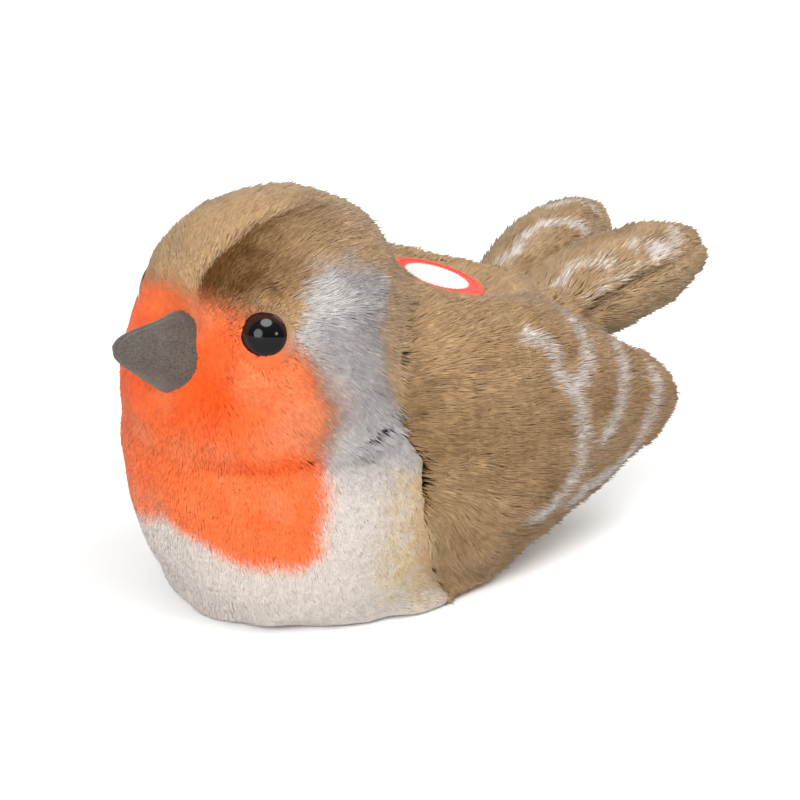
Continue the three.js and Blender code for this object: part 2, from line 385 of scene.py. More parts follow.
def body_markings(at):
    """Colours of the head and trunk."""
    streak = ripple(at.points * (1, 0.5, 0.5), 2.6, 1) + 0.6 * ripple(at.points, 6, 2)
    cloud = ripple(at.points, 9, 3)
    colour = cheek_markings(at, cloud)
    crown = ramp(-2.2, 2.2, at.up - along_line(at.back, CHEEK_TOP) + 0.8 * streak)
    colour = blend(colour, crown_markings(at, streak), crown)
    ruff = ramp(-1.6, 1.6, at.back - along_line(at.up, RUFF_FRONT) + 0.5 * streak)
    olive = blend(OLIVE, WING_BROWN, ramp(40, 52, at.back))
    olive = blend(olive, WING_SHADE, 0.8 * ramp(56, 42, at.up) * ramp(44, 40, at.back))
    olive = blend(olive, CROWN_BACK, ramp(60, 74, at.up))
    # Painted light: the top of the back is made a little paler where it faces up.
    painted_back_light = 0.09 * ramp(52, 60, at.back) * ramp(44, 50, at.up)
    olive = np.clip(olive * (1 + painted_back_light)[:, None], 0, 1)
    colour = blend(colour, olive, ruff)
    colour = breast_markings(at, streak, colour)
    colour = orange_markings(at, streak, cloud, colour)
    # Painted shade: darker along the crease under the cheek.
    return colour * (1 - 0.16 * neck_crease(at))[:, None]


def sprayed(places, lines, outer, inner):
    """1 on lines given as (half width, place, place, ...), soft over the outer and inner margins."""
    spray = np.zeros(len(places))
    for half_width, *line in lines:
        rim = ramp(half_width + outer, half_width - inner, line_distance(places, line))
        spray = np.maximum(spray, rim)
    return spray


def wing_markings(at):
    """Colours of the wings."""
    side_view = np.stack([at.back, at.up], axis=1) + 0.4 * ripples(at.points, 4, 7, 8)
    cloud = ripple(at.points * (1, 0.5, 1), 10, 9)
    rows = ramp(0.2, 1.3, ripple(at.points * (1, 0.45, 1.6), 5.5, 16)) * ramp(58, 46, at.up)
    shade = 0.15 + 0.2 * cloud + 0.25 * ramp(46, 34, at.up) * ramp(28, 34, at.up) + 0.4 * rows
    colour = blend(WING_BROWN, WING_SHADE, np.clip(shade, 0, 1))
    # Painted shade: darker along the wing's front edge, where it stands over the breast.
    front = ramp(44, 36.5, at.back) * ramp(10, 24, at.up) * ramp(64, 52, at.up)
    colour = blend(colour, WING_SHADE * 0.75, 0.7 * front)
    strand = ramp(-0.3, 1.2, ripple(at.points * (1, 1, 0.3), 2.6, 18))
    low_front = ramp(60, 48, at.back) * ramp(28, 18, at.up) * ramp(2, 6, at.up)
    colour = blend(colour, WING_SHADE * 0.7, 0.6 * low_front * strand)
    fading = ramp(47, 41, at.back + 0.25 * (at.up - 12)) * ramp(26, 14, at.up)
    colour = blend(colour, CREAM, np.clip(0.8 * fading, 0, 1))
    spray = sprayed(side_view, WING_ARCS, 0.8, 0.3)
    blob = np.hypot((side_view[:, 0] - ARC_BLOB[0]) / 1.5, side_view[:, 1] - ARC_BLOB[1])
    spray = np.maximum(spray, ramp(2.2, 0.8, blob))
    patchy = 0.86 + 0.14 * ripple(at.points, 3, 10)
    return blend(colour, SPRAY_GREY, np.clip(spray * patchy, 0, 0.97))


def lobe_offset(at):
    """How far each place lies outwards from its lobe's middle line."""
    return at.aside - along_line(at.back, LOBE_LINE)


def lobe_seam_height(at):
    """Height of the seam round a tail lobe's edge."""
    return along_line(at.back, LOBE_SEAM)


def lobe_seam(at):
    along = ramp(94, 99, at.back) * (1 - 0.65 * ramp(112, 119, at.back))
    return bump_at(at.up, lobe_seam_height(at), 0.85) * ramp(1, 4, lobe_offset(at)) * along


def tail_markings(at):
    """Colours of the tail."""
    cloud = ripple(at.points * (1, 0.5, 1), 8, 11)
    colour = blend(WING_BROWN, RUMP, np.full(len(at.x), 0.35))
    colour = blend(colour, WING_SHADE, np.clip(0.2 + 0.35 * cloud, 0, 1))
    top_view = np.stack([at.x, at.back], axis=1) + 0.3 * ripples(at.points, 4, 12, 17)
    spray = sprayed(top_view, TAIL_STROKES, 0.6, 0.5)
    top = ramp(0.6, 2.2, at.up - lobe_seam_height(at))
    # Painted shade: dark along the groove of the lobe's seam.
    colour = blend(colour, WING_SHADE * 0.35, 0.95 * lobe_seam(at))
    patchy = 0.86 + 0.14 * ripple(at.points, 3, 13)
    return blend(colour, SPRAY_GREY, np.clip(spray * top * patchy, 0, 0.72))


def markings(at):
    """The dye of every place, as light."""
    colour = body_markings(at)
    for pieces, marked in ((WINGS, wing_markings), ((TAIL,), tail_markings)):
        chosen = at.on(*pieces)
        colour[chosen] = marked(at)[chosen]
    return np.clip(colour, 0.002, 1) * PILE_WHITENESS


# ---- how the pile grows


def by_piece(piece, trunk, head, wing, tail):
    """For each place, the value that goes with its stuffed piece."""
    return np.choose(piece, (trunk, head, wing, wing, tail))


def pile_depth(at):
    """How far the tips of the pile stand out from the cloth."""
    head = 1.0 + 0.6 * ramp(14, 34, at.back)
    trunk = 0.7 + 1.1 * ramp(34, 54, at.back)
    wing = 1.9 - 0.6 * ramp(99, 106, at.back)
    depth = by_piece(at.piece, trunk, head, wing, 1.6)
    depth = depth * (0.65 + 0.35 * ramp(1.0, 1.5, at.beak_reach()))
    depth = depth * (0.5 + 0.5 * ramp(4.6, 7.5, at.eye_radius()))
    return depth * (0.15 + 0.85 * ramp(9.2, 13.5, at.patch_radius()))


def velvet(at):
    """1 where the pile is a short even velvet, 0 where it is shaggy."""
    breast = at.on(TRUNK) * ramp(56, 40, at.back)
    face = at.on(HEAD) * (0.5 + 0.45 * ramp(66, 52, at.up)) * ramp(38, 18, at.back)
    return np.maximum(breast + face, ramp(2.2, 1.4, at.beak_reach()))


def pile_length(at):
    """How long the pile is from root to tip."""
    head = 2.6 + 1.4 * ramp(12, 26, at.back)
    trunk = 2.0 + 1.8 * ramp(34, 52, at.back)
    wing = 4.4 - 1.2 * ramp(50, 62, at.up) - 1.9 * ramp(99, 106, at.back)
    length = by_piece(at.piece, trunk, head, wing, 3.3)
    length = length * (0.55 + 0.45 * ramp(4.8, 8, at.eye_radius()))
    length = length * (0.7 + 0.3 * ramp(1.0, 1.6, at.beak_reach()))
    return length * (0.35 + 0.65 * ramp(9.8, 15, at.patch_radius()))


def lay(at):
    """The way the pile is brushed, before it is laid along the cloth."""
    from_beak = unit(at.points - BEAK_ROOT)
    cheek = ramp(68, 60, at.up)[:, None]
    head = from_beak + 0.5 * BACK * (1 - cheek) + cheek * (0.30 * BACK + 0.55 * DOWN)
    breast = 0.35 * BACK + DOWN + 0.25 * from_beak
    under = ramp(14, 2, at.up)[:, None]
    back = ramp(40, 52, at.back)[:, None] * ramp(24, 44, at.up)[:, None]
    trunk = breast * (1 - under) + (BACK + 0.3 * DOWN) * under
    trunk = trunk * (1 - back) + (BACK + 0.1 * DOWN) * back
    fan = (ramp(62, 40, at.back) * ramp(34, 12, at.up))[:, None]
    wing = BACK + 0.12 * DOWN + fan * (1.7 * DOWN - 0.35 * BACK)
    way = unit(by_piece(at.piece[:, None], trunk, head, wing, BACK - 0.1 * DOWN))

    # Round the eyes, the beak and the patch the pile is parted, so that it doesn't cover them.
    from_eye = at.from_eye()
    from_eye[:, 0] *= np.where(at.x < 0, -1, 1)
    for share, outwards in (
        (0.9 * ramp(7.5, 4.8, at.eye_radius()), unit(from_eye)),
        (1.2 * ramp(1.5, 1.05, at.beak_reach()), from_beak),
        (1.8 * ramp(14, 10, at.patch_radius()), unit(at.points - PATCH_TOP)),
    ):
        way = way + share[:, None] * outwards
    return unit(way)


# ---- mesh helpers


def link(name, mesh):
    piece = bpy.data.objects.new(name, mesh)
    bpy.context.scene.collection.objects.link(piece)
    return piece


def finish_piece(mesh, material):
    """Puts a mesh in the scene under its own name, with its material, as a piece of the toy."""
    mesh.materials.clear()
    mesh.materials.append(material)
    piece = link(mesh.name, mesh)
    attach(piece, "root")
    return piece


def mesh_from(bm, name):
    mesh = bpy.data.meshes.new(name)
    bm.to_mesh(mesh)
    bm.free()
    mesh.shade_smooth()
    return mesh


def write_points(mesh, points):
    mesh.vertices.foreach_set("co", (points * MM).astype(np.float32).ravel())
    mesh.update()


def read_points(mesh):
    return read(mesh, "co", 3) / MM


def read(mesh, what, width):
    values = np.zeros(len(mesh.vertices) * width, np.float32)
    if what == "normal":
        mesh.vertex_normals.foreach_get("vector", values)
    else:
        mesh.vertices.foreach_get(what, values)
    return values.reshape(-1, width).astype(float)


def paint(mesh, colours):
    rgba = np.ones((len(colours), 4), np.float32)
    rgba[:, :3] = colours
    layer = mesh.attributes.new("dye", "FLOAT_COLOR", "POINT")
    layer.data.foreach_set("color", rgba.ravel())


def note_ring(mesh, share):
    """Notes how far out each place lies on a round piece."""
    layer = mesh.attributes.new("ring", "FLOAT", "POINT")
    layer.data.foreach_set("value", np.asarray(share, np.float32))


def merged_copy(node):
    bm = bmesh.new()
    bm.from_mesh(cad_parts[node].data)
    bmesh.ops.remove_doubles(bm, verts=bm.verts, dist=0.002 * MM)
    bm.normal_update()
    return bm


def seat(place, axis):
    """The matrix that takes a piece made round Z to its place and axis on the toy."""
    turn = Vector((0, 0, 1)).rotation_difference(Vector(axis)).to_matrix().to_4x4()
    return Matrix.Translation(Vector(np.array(place) * MM)) @ turn


def spun(profile, steps):
    """A closed solid turned round Z from (radius, height) places that start and end on the axis."""
    bm = bmesh.new()
    places = [bm.verts.new((radius * MM, 0, height * MM)) for radius, height in profile]
    edges = [bm.edges.new(pair) for pair in zip(places[:-1], places[1:])]
    bmesh.ops.spin(
        bm, geom=places + edges, cent=(0, 0, 0), axis=(0, 0, 1),
        angle=2 * math.pi, steps=steps, use_merge=True, use_duplicate=False,
    )
    bmesh.ops.remove_doubles(bm, verts=bm.verts, dist=0.001 * MM)
    bmesh.ops.recalc_face_normals(bm, faces=bm.faces)
    return bm


# ---- materials


class Finish:
    """A material on the standard shader, with short calls for the nodes that shape it."""

    def __init__(self, name, **values):
        self.material = bpy.data.materials.new(name)
        self.material.use_nodes = True
        self.tree = self.material.node_tree
        self.shader = self.tree.nodes["Principled BSDF"]
        self.feed(self.shader, **values)
        self.place = self.node("TexCoord").outputs["Object"]

    def give(self, socket, value):
        """Sets a socket, or joins it to the output that is given."""
        if hasattr(value, "is_linked"):
            self.tree.links.new(value, socket)
        elif socket.type == "RGBA":
            socket.default_value = (*value, 1)
        else:
            socket.default_value = value

    def feed(self, node, **values):
        for name, value in values.items():
            self.give(node.inputs[name.replace("_", " ")], value)
        return node

    def node(self, kind, **values):
        return self.feed(self.tree.nodes.new("ShaderNode" + kind), **values)

    def attribute(self, name, output="Color"):
        node = self.node("Attribute")
        node.attribute_name = name
        return node.outputs[output]

    def noise(self, size_mm, detail=3.0, stretch=(1, 1, 1), rough=0.55):
        place = self.node("Mapping", Vector=self.place, Scale=stretch).outputs["Vector"]
        scale = 1 / (size_mm * MM)
        node = self.node("TexNoise", Vector=place, Scale=scale, Detail=detail, Roughness=rough)
        return node.outputs["Fac"]

    def spread(self, value, low, high, from_low=0.3, from_high=0.7):
        node = self.node("MapRange", Value=value, From_Min=from_low, From_Max=from_high)
        return self.feed(node, To_Min=low, To_Max=high).outputs["Result"]

    def cloud(self, size_mm, low, high, **noise):
        return self.spread(self.noise(size_mm, **noise), low, high)

    def shade(self, colour, value):
        """The colour made lighter or darker by a value round 1."""
        return self.node("HueSaturation", Color=colour, Value=value).outputs["Color"]

    def steps(self, value, *stops):
        """A colour that runs through (place, colour) stops as the value rises."""
        node = self.node("ValToRGB", Fac=value)
        bands = node.color_ramp.elements
        while len(bands) < len(stops):
            bands.new(0.5)
        for band, (place, colour) in zip(bands, stops):
            band.position = place
            band.color = (*colour, 1)
        return node.outputs["Color"]

    def maths(self, operation, *values):
        node = self.node("Math")
        node.operation = operation
        for socket, value in zip(node.inputs, values):
            self.give(socket, value)
        return node.outputs["Value"]

    def dress(self, colour, roughness, relief, depth_mm, strength):
        """Gives the shader its colour, roughness and relief."""
        bump = self.node("Bump", Strength=strength, Distance=depth_mm * MM, Height=relief)
        normal = bump.outputs["Normal"]
        self.feed(self.shader, Base_Color=colour, Roughness=roughness, Normal=normal)
        return self.material


def cloth(name, sheen, sheen_roughness, shine):
    return Finish(
        name, Sheen_Weight=sheen, Sheen_Roughness=sheen_roughness, Specular_IOR_Level=shine
    )


def pile_finish(name, sheen):
    """Brushed fibre: the dye carried by the mesh, with painted shade and glints in it, varied along and
    between the tufts.
    """
    finish = cloth(name, sheen, 0.4, 0.2)
    tufted = finish.shade(finish.attribute("dye"), finish.cloud(1.6, 0.9, 1.1))
    colour = finish.shade(tufted, finish.cloud(0.3, 0.93, 1.07, detail=1))
    fibre = finish.noise(0.18, detail=2)
    return finish.dress(colour, finish.cloud(2.2, 0.72, 0.95), fibre, 0.04, 0.4)


def skin_finish():
    """The knitted backing between the tufts, in the pile's colours, painted darker as shade under the
    pile.
    """
    finish = cloth("backing cloth", 0.2, 0.6, 0.2)
    knit = finish.noise(0.35, detail=2)
    colour = finish.shade(finish.attribute("dye"), finish.spread(knit, 0.8, 1.1))
    return finish.dress(colour, finish.cloud(1.5, 0.82, 0.98), knit, 0.12, 0.6)


def felt_finish():
    """Fine grey napped cloth, a little worn and lighter where it is handled."""
    finish = cloth("grey felt", 0.15, 0.5, 0.25)
    nap = finish.noise(0.3, stretch=(1, 0.45, 1), rough=0.75)
    shade = finish.maths("MULTIPLY", finish.spread(nap, 0.5, 1.5), finish.cloud(3.5, 0.9, 1.1))
    colour = finish.shade(dye(75, 69, 62), shade)
    return finish.dress(colour, finish.spread(nap, 0.95, 0.78), nap, 0.14, 0.8)


def eye_finish():
    """A glossy button: black pupil, dark brown ring with a faint grain, near-black rim."""
    finish = Finish("glossy button", IOR=1.27)
    black, brown, edge = (0.002, 0.0016, 0.0015), (0.021, 0.007, 0.0035), (0.006, 0.003, 0.002)
    stops = ((0.0, black), (0.58, black), (0.66, brown), (0.86, brown), (0.95, edge))
    rings = finish.steps(finish.attribute("ring", "Fac"), *stops)
    colour = finish.shade(rings, finish.cloud(0.5, 0.8, 1.25, detail=2))
    waves = finish.noise(2.5, detail=1)
    return finish.dress(colour, finish.cloud(1.8, 0.07, 0.1), waves, 0.01, 0.25)


def patch_finish():
    """Red woven patch with a bare white middle; the weave follows the patch's own map."""
    finish = cloth("woven patch", 0.15, 0.4, 0.35)
    red, white = dye(238, 66, 52), dye(238, 226, 220)
    flat_x, flat_y = flat_map(finish)
    turn = finish.maths("MULTIPLY", finish.maths("ARCTAN2", flat_y, flat_x), 44.0)
    scallop = finish.maths("MULTIPLY", finish.maths("SINE", turn), 0.014)
    ragged = finish.maths("MULTIPLY", finish.cloud(0.5, -1, 1, detail=1), 0.006)
    edge = finish.maths("ADD", scallop, ragged)
    radius = finish.maths("ADD", finish.attribute("ring", "Fac"), edge)
    field = finish.steps(radius, (0.0, white), (0.66, white), (0.675, red), (1.0, red))
    weave = weave_height(finish, flat_x, flat_y, 0.34)
    shaded = finish.shade(field, finish.spread(weave, 0.84, 1.06, 0, 1))
    colour = finish.shade(shaded, finish.cloud(4, 0.95, 1.05))
    return finish.dress(colour, finish.cloud(1.2, 0.5, 0.72), weave, 0.06, 0.8)


def flat_map(finish):
    """The two directions of the patch's own map, in metres from its middle."""
    flat = finish.node("UVMap")
    flat.uv_map = "flat"
    split = finish.node("SeparateXYZ", Vector=flat.outputs["UV"])
    return split.outputs["X"], split.outputs["Y"]


def weave_height(finish, flat_x, flat_y, thread_mm):
    """Threads over and under: two crossed sets of soft ridges on the object's own map."""
    turns = math.pi / (thread_mm * MM)
    warp = finish.maths("SINE", finish.maths("MULTIPLY", flat_x, turns))
    weft = finish.maths("SINE", finish.maths("MULTIPLY", flat_y, turns))
    return finish.maths("ABSOLUTE", finish.maths("MULTIPLY", warp, weft))


def thread_finish():
    finish = cloth("satin thread", 0.2, 0.3, 0.5)
    colour = finish.shade(dye(240, 74, 58), finish.cloud(0.5, 0.85, 1.12))
    fibre = finish.noise(0.12, detail=1)
    return finish.dress(colour, finish.cloud(0.9, 0.4, 0.6), fibre, 0.03, 0.5)


def floor_finish():
    finish = Finish("pale floor", Roughness=0.9, Specular_IOR_Level=0.1)
    colour = finish.shade((0.93, 0.93, 0.93), finish.cloud(60, 0.985, 1.0))
    finish.feed(finish.shader, Base_Color=colour)
    return finish.material


# ---- skin

SEAM_ALLOWANCE = 1.5  # each piece is let out by this before the pieces are sewn together
VOXEL = 0.85
SMOOTHING = 3
LUMP = 0.3
EYE_SEAT_DEPTH = 2.2
EYE_SEAT_RADII = (6.3, 6.3, 3.7)

# Stuffing is placed by (out from the middle, behind the breast, up from the floor).
FLANK_FILL = (23.5, 45.6, 4.4)  # between the breast and the wing's corner
FLANK_FILL_RADII = (7.7, 14.7, 5.7)
# Stuffing pushed up under the creases: its place, and the way that it runs along.
CREASE_FILLS = (
    ((25.6, 39.9, 56.4), (0.35, -0.4, -1)),
    ((28.0, 37.6, 51.6), (0.3, -0.3, -1)),
    ((29.8, 37.2, 47.2), (0.25, 0, -1)),
    ((30.9, 37.4, 42.6), (0.2, 0, -1)),
    ((31.6, 38.4, 38.2), (0.1, 0.2, -1)),
    ((31.8, 39.4, 34.0), (0, 0.2, -1)),
    ((31.7, 40.3, 29.6), (0, 0.3, -1)),
    ((31.5, 41.3, 25.2), (0, 0.35, -1)),
    ((31.2, 42.6, 21.0), (0, 0.35, -1)),
    ((29.4, 29.6, 41.4), (0.1, -1, -0.5)),
    ((29.4, 33.6, 43.2), (0, -1, -0.4)),
    ((10.5, 93.0, 48.6), (1, 0, -0.4)),
    ((1.0, 52.6, 59.8), (1, 0, 0)),
    ((6.0, 52.3, 59.6), (1, 0, 0)),
    ((11.0, 51.6, 59.1), (1, -0.2, 0)),
    ((16.0, 50.0, 58.4), (1, -0.4, 0)),
)
CREASE_FILL_RADII = (3.1, 3.1, 3.8)
EASED = 22  # passes that ease the creases where one cloth runs over the next
HALF_EASED = 26  # the same in all other creases
EASED_WIDTH, CREASE_WIDTH = 6.2, 4.7  # how near the next piece has to be for either
CLOTH_OVER_FLOOR, PILE_OVER_FLOOR = 0.1, 0.03
CLOTH_STEPS = 6  # small steps in which the cloth moves in, each along its new normals


def add_stuffing(bm, matrix, radii):
    shape = matrix @ Matrix.Diagonal((*(radius * MM for radius in radii), 1))
    bmesh.ops.create_uvsphere(bm, u_segments=24, v_segments=16, radius=1, matrix=shape)


def behind_breast(place, side):
    return side * place[0], BREAST + place[1], place[2]


def stuffed_shape():
    """The five stuffed pieces as one closed surface, let out past the tips of the pile."""
    bm = bmesh.new()
    for node in STUFFED:
        piece = merged_copy(node)
        for vertex in piece.verts:
            vertex.co += vertex.normal * SEAM_ALLOWANCE * MM
        mesh = bpy.data.meshes.new(node)
        piece.to_mesh(mesh)
        piece.free()
        bm.from_mesh(mesh)
    for side in (1, -1):
        axis = EYE_AXIS * (side, 1, 1)
        behind_eye = EYE_MIDDLE * (side, 1, 1) - axis * EYE_SEAT_DEPTH
        add_stuffing(bm, seat(behind_eye, axis), EYE_SEAT_RADII)
        add_stuffing(bm, seat(behind_breast(FLANK_FILL, side), (0, 0, 1)), FLANK_FILL_RADII)
        for place, along in CREASE_FILLS:
            fill = seat(behind_breast(place, side), (side * along[0], along[1], along[2]))
            add_stuffing(bm, fill, CREASE_FILL_RADII)
    mesh = bpy.data.meshes.new("stuffed shape")
    bm.to_mesh(mesh)
    bm.free()
    raw = link("stuffed shape", mesh)
    remesh = raw.modifiers.new("remesh", "REMESH")
    remesh.mode = "VOXEL"
    remesh.voxel_size = VOXEL * MM
    evaluated = raw.evaluated_get(bpy.context.evaluated_depsgraph_get())
    result = bpy.data.meshes.new_from_object(evaluated)
    bpy.data.objects.remove(raw)
    return result


def smooth(bm, vertices, passes, factor=0.5):
    for _ in range(passes):
        bmesh.ops.smooth_vert(
            bm, verts=vertices, factor=factor, use_axis_x=True, use_axis_y=True, use_axis_z=True
        )


def outer_body(mesh):
    """Only the surface that holds the highest point, without bubbles left inside."""
    bm = bmesh.new()
    bm.from_mesh(mesh)
    start = max(bm.verts, key=lambda vertex: vertex.co.z)
    reached = {start}
    edge_of_reach = [start]
    while edge_of_reach:
        vertex = edge_of_reach.pop()
        for edge in vertex.link_edges:
            other = edge.other_vert(vertex)
            if other not in reached:
                reached.add(other)
                edge_of_reach.append(other)
    hidden = [vertex for vertex in bm.verts if vertex not in reached]
    bmesh.ops.delete(bm, geom=hidden, context="VERTS")
    smooth(bm, bm.verts, SMOOTHING)
    bmesh.ops.recalc_face_normals(bm, faces=bm.faces)
    return mesh_from(bm, "skin")


def nearest_piece(points):
    """Which stuffed piece each place belongs to, and how far the next piece is."""
    distances = np.zeros((len(points), len(STUFFED)))
    for index, node in enumerate(STUFFED):
        bm = merged_copy(node)
        tree = BVHTree.FromBMesh(bm)
        for row, point in enumerate(points * MM):
            distances[row, index] = tree.find_nearest(point)[3] / MM
        bm.free()
    order = np.argsort(distances, axis=1)
    second = np.take_along_axis(distances, order[:, 1:2], axis=1)[:, 0]
    return order[:, 0], second


def grooves(at):
    """Depth of the sewn seams, channels and puckers."""
    crown_seam = 1.1 * on_crown(at) * bump_at(outside_gusset(at), 0, 1.1) * ramp(40, 30, at.back)
    sewn = crown_seam + 1.2 * at.on(TAIL) * lobe_seam(at) + 0.35 * neck_crease(at)
    round_beak = ramp(0.6, 0.95, at.beak_reach()) * ramp(1.7, 1.0, at.beak_reach())
    above_beak = ramp(54, 60, at.up) * ramp(9, 4, at.aside)
    under_beak = ramp(50, 45, at.up) * ramp(9, 4, at.aside)
    sewn = sewn + round_beak * (1.3 + 1.4 * above_beak + 1.2 * under_beak)
    puckers = np.zeros(len(at.x))
    for place, depth, width in (
        ((34.7, 61.5, 13.3), 0.7, 1.8),  # low on the wing
        ((18.7, 125.5, 58.3), 0.8, 1.9),  # at the tail's tip
        ((9.5, 113.0, 60.5), 0.9, 3.0),  # a dent on top of the lobe
    ):
        offset = np.stack([at.aside, at.back, at.up], axis=1) - place
        puckers += depth * np.exp(-(norms(offset) / width) ** 2)
    return sewn + puckers


def eased_creases(at, next_piece):
    """Where the pieces run smoothly into one another: the neck in front, the back, the low sides."""
    neck = at.on(HEAD, TRUNK) & (at.back < 41) & (at.up < 60)
    back = (at.up > 47) & (at.back > 38) & (at.back < 82) & ~at.on(TAIL)
    low = (at.up < 23) & (at.back < 62) & (at.back > 34)
    return (next_piece < EASED_WIDTH) & (neck | back | low)


def ease(mesh, chosen, passes, factor=0.5):
    bm = bmesh.new()
    bm.from_mesh(mesh)
    bm.verts.ensure_lookup_table()
    smooth(bm, [bm.verts[index] for index in np.flatnonzero(chosen)], passes, factor)
    bm.to_mesh(mesh)
    bm.free()
    mesh.update()


def flattened_under_patch(at):
    """The cloth lies flat under the patch and rises slowly round it, freely again at the nape."""
    offset = at.points - PATCH_TOP
    radius = at.patch_radius()
    slope = 0.7 - 0.42 * ramp(-5, 5, offset @ (0.77, -0.64, 0))
    ceiling = np.maximum(radius - 10.4, 0) * slope - PATCH_THICKNESS - 0.35
    nape = ramp(-4, -9, offset[:, 1]) * ramp(8, 3, offset[:, 0])
    ceiling = ceiling + 0.25 * np.maximum(radius - 14, 0) ** 2 * nape
    drop = np.maximum(at.over_patch() - ceiling, 0) * (radius < 20)
    return at.points - drop[:, None] * PATCH_NORMAL


def sag(at):
    """How far the low breast and flanks settle outwards on the floor, least at the corner between."""
    round_corner = 0.64 * at.aside + 0.77 * (at.back + BREAST)
    bulge = 1.5 - 1.9 * bump_at(round_corner, -19, 8)
    return bulge * bump_at(at.up, 1.2, 2.2) * at.on(TRUNK) * ramp(58, 50, at.back)


def softened(mesh, values, passes):
    """The values at the vertices, each averaged with its neighbours a number of times."""
    pairs = np.zeros(len(mesh.edges) * 2, np.int32)
    mesh.edges.foreach_get("vertices", pairs)
    pairs = pairs.reshape(-1, 2)
    start, end = np.concatenate([pairs, pairs[:, ::-1]]).T
    count = len(values)
    neighbours = np.bincount(start, minlength=count)[:, None]
    for _ in range(passes):
        total = [np.bincount(start, weights=values[end, axis], minlength=count) for axis in range(3)]
        values = 0.5 * values + 0.5 * np.stack(total, axis=1) / neighbours
    return values


def sewn_cloth():
    """The closed body with its creases eased, the piece of each vertex and how far the next one is."""
    mesh = outer_body(stuffed_shape())
    points = read_points(mesh)
    piece, next_piece = nearest_piece(points)
    eased = eased_creases(Places(points, piece), next_piece)
    ease(mesh, eased, EASED)
    ease(mesh, (next_piece < CREASE_WIDTH) & ~eased, HALF_EASED)
    return mesh, piece, np.where(eased, next_piece + 1.2, next_piece)  # an eased crease counts less


def inward_steps(at, next_piece):
    """How far in from the let-out shape the cloth lies, with its seams, lumps and sag."""
    crease = 0.2 * ramp(2.3, 0.9, next_piece)
    settled = 0.15 + 0.85 * ramp(0.8, 6.0, at.up)  # the pile is pressed flat where the toy sits
    inward = SEAM_ALLOWANCE + pile_depth(at) * settled + grooves(at) + crease
    inward += LUMP * ripple(at.points, 13, 20) * ramp(9, 14, at.patch_radius())
    inward -= sag(at)
    inward -= 0.6 * ramp(12, 7, norms(at.from_eye()))  # cloth drawn up round the eyes
    return inward / CLOTH_STEPS


def make_skin():
    """The sewn cloth under the pile; also its places, the gap to the next piece and the way out."""
    mesh, piece, next_piece = sewn_cloth()
    points = read_points(mesh)
    inward = inward_steps(Places(points, piece), next_piece)
    outward = unit(softened(mesh, read(mesh, "normal", 3), 6))
    for _ in range(CLOTH_STEPS):
        normals = unit(read(mesh, "normal", 3) + 0.8 * outward)
        points = points - normals * inward[:, None]
        write_points(mesh, points)
    ease(mesh, np.ones(len(points)), 1, 0.4)
    mesh.shade_smooth()
    points = flattened_under_patch(Places(read_points(mesh), piece))
    points[:, 2] = np.maximum(points[:, 2], CLOTH_OVER_FLOOR)
    write_points(mesh, points)
    at = Places(points, piece)
    # Painted shade under the pile: the backing is made darker than the pile, less so under the short
    # velvet.
    paint(mesh, markings(at) * (0.8 + 0.18 * velvet(at))[:, None])
    skin = finish_piece(mesh, skin_finish())
    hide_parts(*STUFFED)
    return skin, at, next_piece, outward


# ---- pile

TUFTS = 248000
MOST_TUFTS = 32500  # in one coat piece, which keeps it under 200,000 triangles
RING = 0.36  # where along its length a tuft is widest
MAP_PATCH = 0.003  # size of a tuft's place on the coat's map
TUFT_ROUNDNESS = 0.4
TUFTS_IN_LOCK = 30
FURTHEST_PULL = 3.5  # from a tuft's tip to its lock's
EVEN_STRIDES = (0.7548776662, 0.5698402910)  # steps that fill a square evenly
COAT_SOFTENING = 60  # passes that even out the coat's shading over creases


def tuft_template():
    """A thin spindle from a pointed root to a pointed tip: (along, across, out) places and faces."""
    bm = bmesh.new()
    for place in ((0, 0, 0), (RING, 0.5, 0.05), (RING, -0.5, 0.05), (RING, 0, 0.26), (1, 0, 0)):
        bm.verts.new(place)
    bmesh.ops.convex_hull(bm, input=bm.verts)
    bmesh.ops.triangulate(bm, faces=bm.faces)
    bmesh.ops.recalc_face_normals(bm, faces=bm.faces)
    bm.verts.index_update()
    places = np.array([vertex.co for vertex in bm.verts])
    faces = np.array([[vertex.index for vertex in face.verts] for face in bm.faces])
    bm.free()
    return places, faces


TUFT, TUFT_FACES = tuft_template()
IS_TIP = TUFT[:, 0] > 0.99
IS_RING = np.abs(TUFT[:, 0] - RING) < 1e-3
TUFT_MAP = np.array([[0.0, 0.0], [0.4, 0.5], [0.4, -0.5], [0.5, 0.0], [1.0, 0.0]])


def scatter(mesh, weights, count):
    """Roots spread evenly over the cloth: place, normal and nearest vertex of each."""
    mesh.calc_loop_triangles()
    corner = np.zeros(len(mesh.loop_triangles) * 3, np.int32)
    mesh.loop_triangles.foreach_get("vertices", corner)
    corner = corner.reshape(-1, 3)
    points = read_points(mesh)
    normals = read(mesh, "normal", 3)
    a, b, c = (points[corner[:, i]] for i in range(3))
    area = norms(np.cross(b - a, c - a)) / 2 * weights[corner].mean(axis=1)
    filled = np.cumsum(area) / area.sum() * count
    number = np.diff(np.floor(np.concatenate([[0], filled]))).astype(int)
    triangle = np.repeat(np.arange(len(corner)), number)
    order = np.arange(len(triangle))
    u, v = ((0.5 + order * stride) % 1 for stride in EVEN_STRIDES)
    u, v = np.where(u + v > 1, 1 - u, u), np.where(u + v > 1, 1 - v, v)
    share = np.stack([1 - u - v, u, v], axis=1)
    ids = corner[triangle]
    roots = (points[ids] * share[..., None]).sum(axis=1)
    normal = unit((normals[ids] * share[..., None]).sum(axis=1))
    return roots, normal, ids[np.arange(len(ids)), share.argmax(axis=1)]


def nearest(tree_points, wanted):
    tree = KDTree(len(tree_points))
    for index, point in enumerate(tree_points):
        tree.insert(point, index)
    tree.balance()
    return np.array([tree.find(point)[1] for point in wanted])


